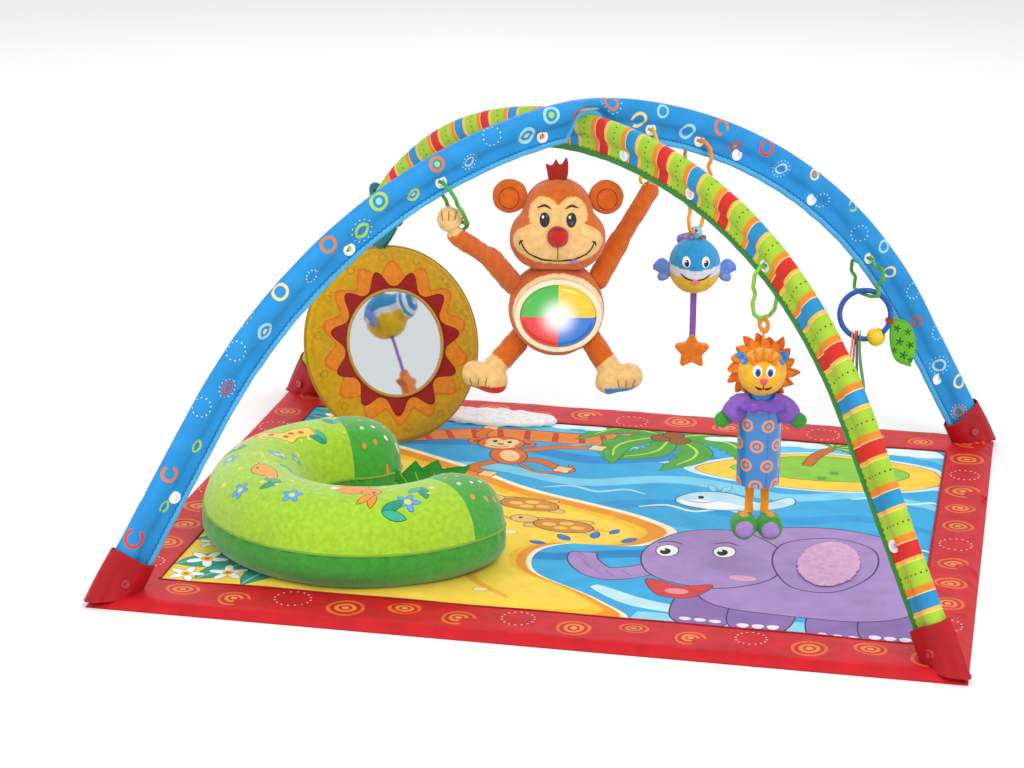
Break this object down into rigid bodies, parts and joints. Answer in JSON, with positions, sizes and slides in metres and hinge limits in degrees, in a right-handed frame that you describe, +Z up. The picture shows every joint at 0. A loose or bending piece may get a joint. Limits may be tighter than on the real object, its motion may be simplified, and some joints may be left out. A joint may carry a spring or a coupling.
{
  "type": "activity play gym",
  "caption": "Padded play mat with two crossed soft arches that carry a light-up plush, a pull toy, a chime and a ring rattle, with a mirror and a crescent pillow.",
  "frame": {"origin": "on the ground under the middle of the mat", "axes": "+X right along the mat's long side, +Y back, +Z up; the lion chime hangs at the front right"},
  "size_m": [1, 0.85, 0.5339],
  "materials": {
    "red_cotton": "woven satin cotton",
    "printed_cotton": "printed cotton",
    "backing_cloth": "woven",
    "wadding": "lofted fibre",
    "pile_patch": "soft pile",
    "blue_print": "printed cotton",
    "green_print": "printed cotton",
    "blue_binding": "folded tape",
    "green_binding": "folded tape",
    "white_plastic": "moulded",
    "glass_fibre_rod": "pultruded",
    "steel": "rolled",
    "black_cap": "moulded",
    "green_plastic": "moulded",
    "yellow_plastic": "moulded",
    "orange_plastic": "moulded",
    "blue_plastic": "moulded",
    "orange_plush": "short pile",
    "red_plush": "short pile",
    "module_plastic": "moulded",
    "lens_plastic": "moulded, tinted",
    "circuit_board": "solder mask",
    "battery_case": "sleeved",
    "lamp_plastic": "moulded",
    "blue_plush": "short pile",
    "orange_felt": "felt",
    "purple_ribbon": "woven ribbon",
    "yellow_plush": "velour",
    "chime_print": "moulded, printed",
    "aluminium": "drawn",
    "green_plush": "short pile",
    "page_cloth": "printed cotton",
    "leaf_cloth": "printed cotton",
    "mustard_cloth": "embossed cloth",
    "mirror_sheet": "acrylic mirror",
    "teal_strap": "webbing",
    "lime_velour": "printed velour",
    "dark_green_velour": "velour"
  },
  "bodies": {
    "mat": {"mat_backing": "backing_cloth", "mat_batting": "wadding", "mat_panel": "printed_cotton", "mat_border": "red_cotton", "soft_patches": "pile_patch", "corner_pockets": "red_cotton", "pocket_snaps": "red_cotton"},
    "arches": {"blue_arch_sleeve": "blue_print", "green_arch_sleeve": "green_print", "blue_arch_binding": "blue_binding", "green_arch_binding": "green_binding", "eyelets": "white_plastic", "arch_rods": "glass_fibre_rod", "rod_ferrules": "steel", "rod_tips": "black_cap"},
    "monkey_links": {"monkey_link_green": "green_plastic", "monkey_link_yellow": "yellow_plastic"},
    "monkey": {"monkey_head": "orange_plush", "monkey_head_trim": "red_plush", "monkey_torso": "orange_plush", "monkey_arms": "orange_plush", "monkey_legs": "orange_plush", "monkey_wrist_loops": "yellow_plush", "light_housing": "module_plastic", "battery_door": "module_plastic", "battery_door_screw": "steel", "batteries": "battery_case", "circuit_board": "circuit_board", "led_lamps": "lamp_plastic", "speaker": "black_cap"},
    "belly_light": {"light_lens": "lens_plastic"},
    "mode_switch": {"mode_switch": "black_cap"},
    "whale_link_upper": {"whale_link_upper": "orange_plastic"},
    "whale_link_lower": {"whale_link_lower": "orange_plastic"},
    "whale": {"whale_strap": "blue_plush", "whale_body": "blue_plush", "whale_fins_and_tail": "blue_plush", "pull_cord_casing": "module_plastic", "pull_cord": "purple_ribbon"},
    "cord_drum": {"cord_drum": "module_plastic"},
    "whale_star": {"whale_star": "orange_felt"},
    "lion_link": {"lion_link": "green_plastic"},
    "lion": {"lion_head": "yellow_plush", "lion_mane_and_hanger": "orange_felt", "chime_tube": "chime_print", "chime_caps": "chime_print", "chime_bars": "aluminium", "lion_arms_and_legs": "green_plush"},
    "chime_striker": {"chime_striker": "lamp_plastic"},
    "rattle_link": {"rattle_link": "green_plastic"},
    "rattle_ring": {"rattle_ring": "blue_plastic"},
    "rattle_bead": {"rattle_bead": "yellow_plastic"},
    "rattle_pages": {"rattle_pages": "page_cloth"},
    "rattle_leaf": {"rattle_leaf": "leaf_cloth"},
    "mirror": {"mirror_pad": "mustard_cloth", "mirror_disc": "mirror_sheet", "mirror_strap": "teal_strap"},
    "pillow": {"pillow": "lime_velour", "pillow_leaf": "dark_green_velour"}
  },
  "joints": [
    {"name": "arches_lift", "type": "slide", "parent": "mat", "child": "arches", "axis": [0, 0, 1], "range_m": [0, 0.1], "deforming": ["corner_pockets"]},
    {"name": "monkey_links_swing", "type": "hinge", "parent": "arches", "child": "monkey_links", "pos_m": [-0.15187, -0.12909, 0.45239], "axis": [0.756, 0.6426, 0.1249], "range_deg": [-12, 12]},
    {"name": "monkey_swing", "type": "hinge", "parent": "monkey_links", "child": "monkey", "pos_m": [-0.12909, -0.10973, 0.40037], "axis": [0.7572, 0.6436, 0.1116], "range_deg": [-8, 8]},
    {"name": "belly_press", "type": "slide", "parent": "monkey", "child": "belly_light", "axis": [-0.1908, 0.9816, 0], "range_m": [0, 0.003], "stiffness_N_per_m": 400, "springref_m": -0.002},
    {"name": "mode_slide", "type": "slide", "parent": "monkey", "child": "mode_switch", "axis": [0.9816, 0.1908, 0], "range_m": [-0.003, 0.003]},
    {"name": "whale_link_swing", "type": "hinge", "parent": "arches", "child": "whale_link_upper", "pos_m": [0.12155, 0.10332, 0.46797], "axis": [0.9295, -0.3687, 0], "range_deg": [-12, 12]},
    {"name": "whale_lower_link_swing", "type": "hinge", "parent": "whale_link_upper", "child": "whale_link_lower", "pos_m": [0.12155, 0.10332, 0.40797], "axis": [0.9295, -0.3687, 0], "range_deg": [-12, 12]},
    {"name": "whale_swing", "type": "hinge", "parent": "whale_link_lower", "child": "whale", "pos_m": [0.12155, 0.10332, 0.35307], "axis": [-0.3687, -0.9295, 0], "range_deg": [-20, 20]},
    {"name": "star_pull", "type": "slide", "parent": "whale", "child": "whale_star", "axis": [0, 0, -1], "range_m": [0, 0.08], "stiffness_N_per_m": 15, "springref_m": -0.03, "deforming": ["pull_cord"]},
    {"name": "drum_turn", "type": "hinge", "parent": "whale", "child": "cord_drum", "pos_m": [0.12155, 0.10332, 0.309], "axis": [0.1908, -0.9816, 0], "range_deg": [-1, 520]},
    {"name": "lion_link_swing", "type": "hinge", "parent": "arches", "child": "lion_link", "pos_m": [0.24256, -0.20617, 0.39519], "axis": [-0.6476, -0.7619, 0], "range_deg": [-15, 15]},
    {"name": "lion_swing", "type": "hinge", "parent": "lion_link", "child": "lion", "pos_m": [0.24256, -0.20617, 0.33519], "axis": [0.7619, -0.6476, 0], "range_deg": [-8, 8]},
    {"name": "striker_swing", "type": "hinge", "parent": "lion", "child": "chime_striker", "pos_m": [0.24256, -0.20617, 0.226], "axis": [1, 0, 0], "range_deg": [-7, 7]},
    {"name": "rattle_link_swing", "type": "hinge", "parent": "arches", "child": "rattle_link", "pos_m": [0.32571, 0.27685, 0.28714], "axis": [0.7237, -0.6901, 0], "range_deg": [-14, 2]},
    {"name": "ring_swing", "type": "hinge", "parent": "rattle_link", "child": "rattle_ring", "pos_m": [0.32571, 0.27685, 0.23714], "axis": [0.7237, -0.6901, 0], "range_deg": [-18, 3]},
    {"name": "bead_travel", "type": "hinge", "parent": "rattle_ring", "child": "rattle_bead", "pos_m": [0.32571, 0.27685, 0.21044], "axis": [0.0413, -0.9991, 0], "range_deg": [-9, 2]},
    {"name": "pages_swing", "type": "hinge", "parent": "rattle_ring", "child": "rattle_pages", "pos_m": [0.31552, 0.27643, 0.17906], "axis": [0.9991, 0.0413, 0], "range_deg": [-20, 20]},
    {"name": "leaf_swing", "type": "hinge", "parent": "rattle_ring", "child": "rattle_leaf", "pos_m": [0.35818, 0.27819, 0.20471], "axis": [0.1735, 0.0072, 0.9848], "range_deg": [-15, 15]},
    {"name": "mirror_swing", "type": "hinge", "parent": "arches", "child": "mirror", "pos_m": [-0.30195, 0.25666, 0.29672], "axis": [0.7242, 0.6896, 0], "range_deg": [-25, 0]},
    {"name": "pillow_lift_out", "type": "slide", "parent": "mat", "child": "pillow", "axis": [0.6398, -0.7447, 0.1899], "range_m": [0, 0.45]}
  ],
  "couplings": [
    {"joint": "drum_turn", "follows": "star_pull", "rad_per_m": 111.11}
  ]
}
